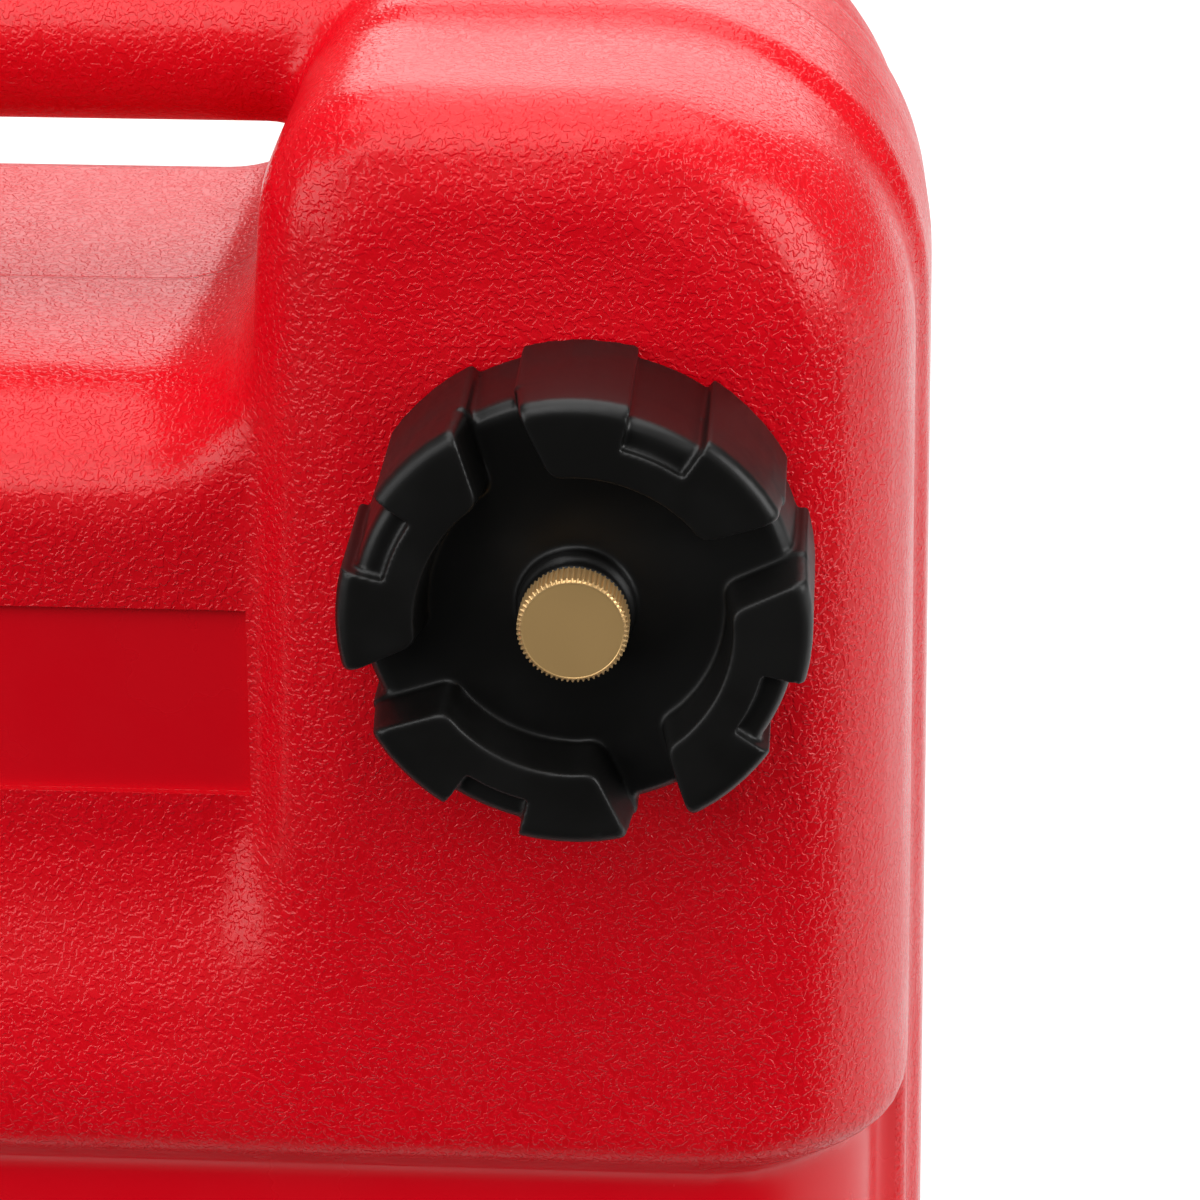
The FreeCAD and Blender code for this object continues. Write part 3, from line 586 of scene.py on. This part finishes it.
# copies of one small shape around the local Z axis
def ringTree():
    tree = bpy.data.node_groups.new("copiesAroundAxis", "GeometryNodeTree")
    tree.is_modifier = True
    for label, kind in (("Geometry", "NodeSocketGeometry"), ("Copies", "NodeSocketInt"),
                        ("First turn", "NodeSocketFloat"), ("Turn between", "NodeSocketFloat"),
                        ("Material", "NodeSocketMaterial")):
        tree.interface.new_socket(label, in_out="INPUT", socket_type=kind)
    tree.interface.new_socket("Geometry", in_out="OUTPUT", socket_type="NodeSocketGeometry")
    ins, outs = tree.nodes.new("NodeGroupInput"), tree.nodes.new("NodeGroupOutput")
    points = tree.nodes.new("GeometryNodePoints")
    place = tree.nodes.new("GeometryNodeInstanceOnPoints")
    index = tree.nodes.new("GeometryNodeInputIndex")
    turn = mathNode(tree, "MULTIPLY", index.outputs[0], ins.outputs["Turn between"])
    turn = mathNode(tree, "ADD", turn, ins.outputs["First turn"])
    spin = tree.nodes.new("ShaderNodeCombineXYZ")
    real = tree.nodes.new("GeometryNodeRealizeInstances")
    paint = tree.nodes.new("GeometryNodeSetMaterial")
    for source, target in (
            (ins.outputs["Copies"], points.inputs["Count"]),
            (points.outputs[0], place.inputs["Points"]),
            (ins.outputs["Geometry"], place.inputs["Instance"]),
            (turn, spin.inputs["Z"]),
            (spin.outputs[0], place.inputs["Rotation"]),
            (place.outputs[0], real.inputs["Geometry"]),
            (real.outputs[0], paint.inputs["Geometry"]),
            (ins.outputs["Material"], paint.inputs["Material"]),
            (paint.outputs[0], outs.inputs["Geometry"])):
        tree.links.new(source, target)
    return tree


copiesAroundAxis = ringTree()


def copyAround(piece, copies, first, between, material):
    ring = piece.modifiers.new("copies", "NODES")
    ring.node_group = copiesAroundAxis
    sockets = {item.name: item.identifier for item in copiesAroundAxis.interface.items_tree
               if item.in_out == "INPUT"}
    ring[sockets["Copies"]] = copies
    ring[sockets["First turn"]] = math.radians(first)
    ring[sockets["Turn between"]] = math.radians(between)
    ring[sockets["Material"]] = material
    return settle(piece)


# finishes of the other pieces, by the record's material slots
finishes = {
    "seal_rubber": {"colour": (0.006, 0.006, 0.006), "roughness": 0.55, "specular": 0.2},
    "natural_plastic": {"colour": (0.70, 0.67, 0.60), "roughness": 0.45},
    "bush_brass": {"colour": (0.50, 0.34, 0.13), "roughness": 0.28, "metallic": 1.0},
    "knob_brass": {"colour": (0.74, 0.47, 0.19), "roughness": 0.30, "metallic": 0.65, "specular": 0.5},
    "clip_steel": {"colour": (0.46, 0.46, 0.47), "roughness": 0.30, "metallic": 1.0},
    "head_plastic": {"colour": (0.004, 0.004, 0.004), "roughness": 0.38, "specular": 0.2, "rub": 0.01},
    "dial_plate": {"colour": (0.80, 0.80, 0.77), "roughness": 0.42},
    "bezel_plastic": {"colour": (0.004, 0.004, 0.004), "roughness": 0.18, "rub": 0.01},
    "magnet_steel": {"colour": (0.18, 0.18, 0.19), "roughness": 0.42, "metallic": 1.0},
    "needle_plastic": {"colour": (0.70, 0.02, 0.012), "roughness": 0.40},
    "pin_steel": {"colour": (0.55, 0.55, 0.56), "roughness": 0.24, "metallic": 1.0},
    "arm_plastic": {"colour": (0.03, 0.03, 0.032), "roughness": 0.45},
    "float_foam": {"colour": (0.03, 0.03, 0.03), "roughness": 0.75, "grain": 900.0, "depth": 0.05},
    "tube_plastic": {"colour": (0.62, 0.61, 0.54), "roughness": 0.35},
    "fitting_brass": {"colour": (0.52, 0.36, 0.15), "roughness": 0.30, "metallic": 1.0},
    "fitting_steel": {"colour": (0.66, 0.65, 0.62), "roughness": 0.16, "metallic": 1.0},
    "screw_steel": {"colour": (0.55, 0.55, 0.56), "roughness": 0.28, "metallic": 1.0},
}
madeFinishes = {slot: plainFinish(slot, values) for slot, values in finishes.items()}
madeFinishes["black_plastic"] = blackPlastic


def clearLens():
    material, tree, shader, place = newMaterial("clearLens", (0.96, 0.98, 0.98), 0.04)
    shader.inputs["Transmission Weight"].default_value = 1.0
    shader.inputs["IOR"].default_value = 1.46
    fine = noiseNode(tree, place, 90.0, 2.0)
    rough = rangeNode(tree, fine.outputs["Fac"], 0.4, 0.7, 0.02, 0.07)
    tree.links.new(rough, shader.inputs["Roughness"])
    return material


madeFinishes["clear_lens"] = clearLens()

# vent knob with its knurl
knob = {
    "face": 32.7, "back": 27.1, "root": 8.62, "tip": 8.98, "rimDrop": 0.35, "faceRadius": 8.15,
    "rimInset": 0.25, "rimLip": 0.05, "faceInset": 0.12, "faceSink": 0.06, "stem": 3.0, "stemEnd": 12.6,
    "teeth": 64, "toothHalf": 0.40, "toothCrest": 0.09, "toothFoot": 0.4, "toothRun": 0.3,
}


def knurlTooth(s):
    # one ridge along the knob's side, on the local Y axis
    built = bmesh.new()
    top = s["face"] - s["rimDrop"]
    rings = []
    foot, half, crest, run = s["root"] - s["toothFoot"], s["toothHalf"], s["toothCrest"], s["toothRun"]
    for height, tip in ((s["back"], s["root"]), (s["back"] + run, s["tip"]),
                        (top, s["tip"]), (s["face"], s["root"] - run)):
        corners = ((-half, foot), (half, foot), (crest, tip), (-crest, tip))
        rings.append([built.verts.new((x, y, height)) for x, y in corners])
    for below, above in zip(rings, rings[1:]):
        for i in range(4):
            j = (i + 1) % 4
            built.faces.new((below[i], below[j], above[j], above[i]))
    built.faces.new(rings[0][::-1])
    built.faces.new(rings[-1])
    bmesh.ops.recalc_face_normals(built, faces=built.faces)
    return fromBmesh("tooth", built)


def ventKnob(s, material):
    profile = [
        (0, s["stemEnd"]), (s["stem"], s["stemEnd"]), (s["stem"], s["back"]), (s["root"], s["back"]),
        (s["root"], s["face"] - s["rimDrop"]), (s["root"] - s["rimInset"], s["face"] - s["rimLip"]),
        (s["faceRadius"], s["face"]), (s["faceRadius"] - s["faceInset"], s["face"] - s["faceSink"]),
        (0, s["face"] - s["faceSink"]),
    ]
    core = turnedPiece("core", profile, Matrix.Identity(4), 128)
    teeth = copyAround(knurlTooth(s), s["teeth"], 0, 360 / s["teeth"], material)
    piece = joined("ventKnob", [core, teeth])
    piece.data.transform(onFront(fillerX, fillerZ))
    piece.data.materials.append(material)
    return smoothShade(piece, 25)


print("vent knob")
knobPiece = ventKnob(knob, madeFinishes["knob_brass"])
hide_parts("vent_screw")
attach(knobPiece, "vent")

# marks on the gauge's dial
dial = {
    "inner": 9.4, "outer": 12.6, "width": 0.7, "smallInner": 11.0, "smallWidth": 0.6,
    "marks": 5, "first": 140.0, "step": 20.0, "face": 9.27, "height": 0.06,
}


def dialMark(s, inner, width):
    return boxPiece("mark", (-width / 2, inner, s["face"]), (width / 2, s["outer"], s["face"] + s["height"]))


def dialMarks(s, material):
    big = dialMark(s, s["inner"], s["width"])
    big = copyAround(big, s["marks"], -s["first"], -s["step"], material)
    small = dialMark(s, s["smallInner"], s["width"] * s["smallWidth"])
    small = copyAround(small, s["marks"] - 1, -s["first"] - s["step"] / 2, -s["step"], material)
    piece = joined("dialMarks", [big, small])
    piece.data.transform(onFront(headX, gaugeZ))
    piece.data.materials.append(material)
    return piece


print("dial marks")
marksPiece = dialMarks(dial, madeFinishes["bezel_plastic"])
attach(marksPiece, "tank")

# the other nodes keep their own mesh and get their slot's finish
slots = {part["node"]: part["material_slot"] for part in frame["record"]["subparts"]}
for node, piece in frame["nodes"].items():
    if piece.hide_render:
        continue
    piece.data.materials.clear()
    piece.data.materials.append(madeFinishes[slots[node]])
print("finishes set")

# studio, in metres and watts, with the camera in millimetres
studio = {
    "cameraAt": (146.38, -747.87, 458.12), "cameraAim": (110.365, -101.65, 195.18), "lens": 132.0,
    "worldStrength": 0.53, "worldGloss": 0.08,
    "floorColour": (0.50, 0.50, 0.50), "floorAhead": 0.03, "floorGloss": 0.45, "floorLift": 0.62,
    "floorHalf": 6.0, "aheadRun": (-0.14, -0.08), "behindRun": (-0.25, -0.05), "farRun": (0.8, 1.6),
}
studioLights = {  # place, what it points at, size, power
    "topLight": ((0.1, 0.15, 1.5), (0, 0, 0.15), 1.6, 18.0),
    "frontLight": ((-0.3, -1.2, 1.5), (0.05, 0, 0.15), 1.2, 13.0),
    "lowLight": ((-1.6, -1.2, 0.45), (0.05, 0, 0.15), 1.6, 22.0),
    "rightLight": ((1.5, -0.5, 0.7), (0.1, 0, 0.15), 1.0, 15.0),
    "backLight": ((0.2, 1.7, 1.1), (0.05, 0, 0.2), 1.6, 13.0),
}


def softBox(name, place, aim, size, power):
    light = bpy.data.lights.new(name, "AREA")
    light.shape = "SQUARE"
    light.size = size
    light.energy = power
    lamp = bpy.data.objects.new(name, light)
    lamp.location = place
    lamp.rotation_mode = "QUATERNION"
    lamp.rotation_quaternion = (Vector(aim) - Vector(place)).to_track_quat("-Z", "Y")
    bpy.context.scene.collection.objects.link(lamp)


def studioFloor(s):
    # the camera sees white paper, and the paper ahead of the object stays dark to other rays
    built = bmesh.new()
    bmesh.ops.create_grid(built, x_segments=1, y_segments=1, size=s["floorHalf"])
    floor = fromBmesh("floor", built)
    floor.location = (0, 0, tankLow.z)
    material, tree, shader, place = newMaterial("floorPaper", s["floorColour"], 0.9)
    shader.inputs["Specular IOR Level"].default_value = 0.0
    path = tree.nodes.new("ShaderNodeLightPath")
    seen = mathNode(tree, "MAXIMUM", path.outputs["Is Camera Ray"], path.outputs["Is Glossy Ray"])
    seen = mathNode(tree, "MAXIMUM", seen, path.outputs["Is Transmission Ray"])
    split = tree.nodes.new("ShaderNodeSeparateXYZ")
    tree.links.new(place, split.inputs[0])
    behind = rangeNode(tree, split.outputs["Y"], *s["behindRun"])
    ahead = rangeNode(tree, split.outputs["Y"], *s["aheadRun"], 1.0, 0.0)
    unseen = mathNode(tree, "SUBTRACT", 1.0, path.outputs["Is Camera Ray"])
    dark = mathNode(tree, "MULTIPLY", ahead, unseen)
    paper = mixColour(tree, dark, s["floorColour"], (s["floorAhead"],) * 3)
    tree.links.new(paper, shader.inputs["Base Color"])
    away = tree.nodes.new("ShaderNodeVectorMath")
    away.operation = "LENGTH"
    tree.links.new(place, away.inputs[0])
    far = rangeNode(tree, away.outputs["Value"], *s["farRun"])
    lift = mathNode(tree, "MULTIPLY", mathNode(tree, "MAXIMUM", behind, far), s["floorLift"])
    lift = mathNode(tree, "MULTIPLY", lift, mathNode(tree, "SUBTRACT", 1.0, dark))
    lift = mathNode(tree, "MULTIPLY", lift, seen)
    dimmer = rangeNode(tree, path.outputs["Is Glossy Ray"], 0, 1, 1.0, s["floorGloss"])
    lift = mathNode(tree, "MULTIPLY", lift, dimmer)
    shader.inputs["Emission Color"].default_value = (1, 1, 1, 1)
    tree.links.new(lift, shader.inputs["Emission Strength"])
    floor.data.materials.append(material)


def studioWorld(s):
    world = bpy.data.worlds.new("studio")
    world.use_nodes = True
    tree = world.node_tree
    back = tree.nodes["Background"]
    back.inputs["Color"].default_value = (1, 1, 1, 1)
    path = tree.nodes.new("ShaderNodeLightPath")
    strength = rangeNode(tree, path.outputs["Is Glossy Ray"], 0, 1, s["worldStrength"], s["worldGloss"])
    strength = mathNode(tree, "MAXIMUM", strength, path.outputs["Is Camera Ray"])
    tree.links.new(strength, back.inputs["Strength"])
    bpy.context.scene.world = world


def studioCamera(s):
    lens = bpy.data.cameras.new("camera")
    lens.lens = s["lens"]
    lens.sensor_width = 36
    lens.clip_start, lens.clip_end = 0.01, 50
    camera = bpy.data.objects.new("camera", lens)
    place, aim = Vector(s["cameraAt"]) * mm, Vector(s["cameraAim"]) * mm
    camera.location = place
    camera.rotation_mode = "QUATERNION"
    camera.rotation_quaternion = (aim - place).to_track_quat("-Z", "Y")
    bpy.context.scene.collection.objects.link(camera)
    bpy.context.scene.camera = camera


studioFloor(studio)
studioWorld(studio)
studioCamera(studio)
for name, (place, aim, size, power) in studioLights.items():
    softBox(name, place, aim, size, power)
bpy.context.scene.view_settings.view_transform = "Standard"
print("studio ready")
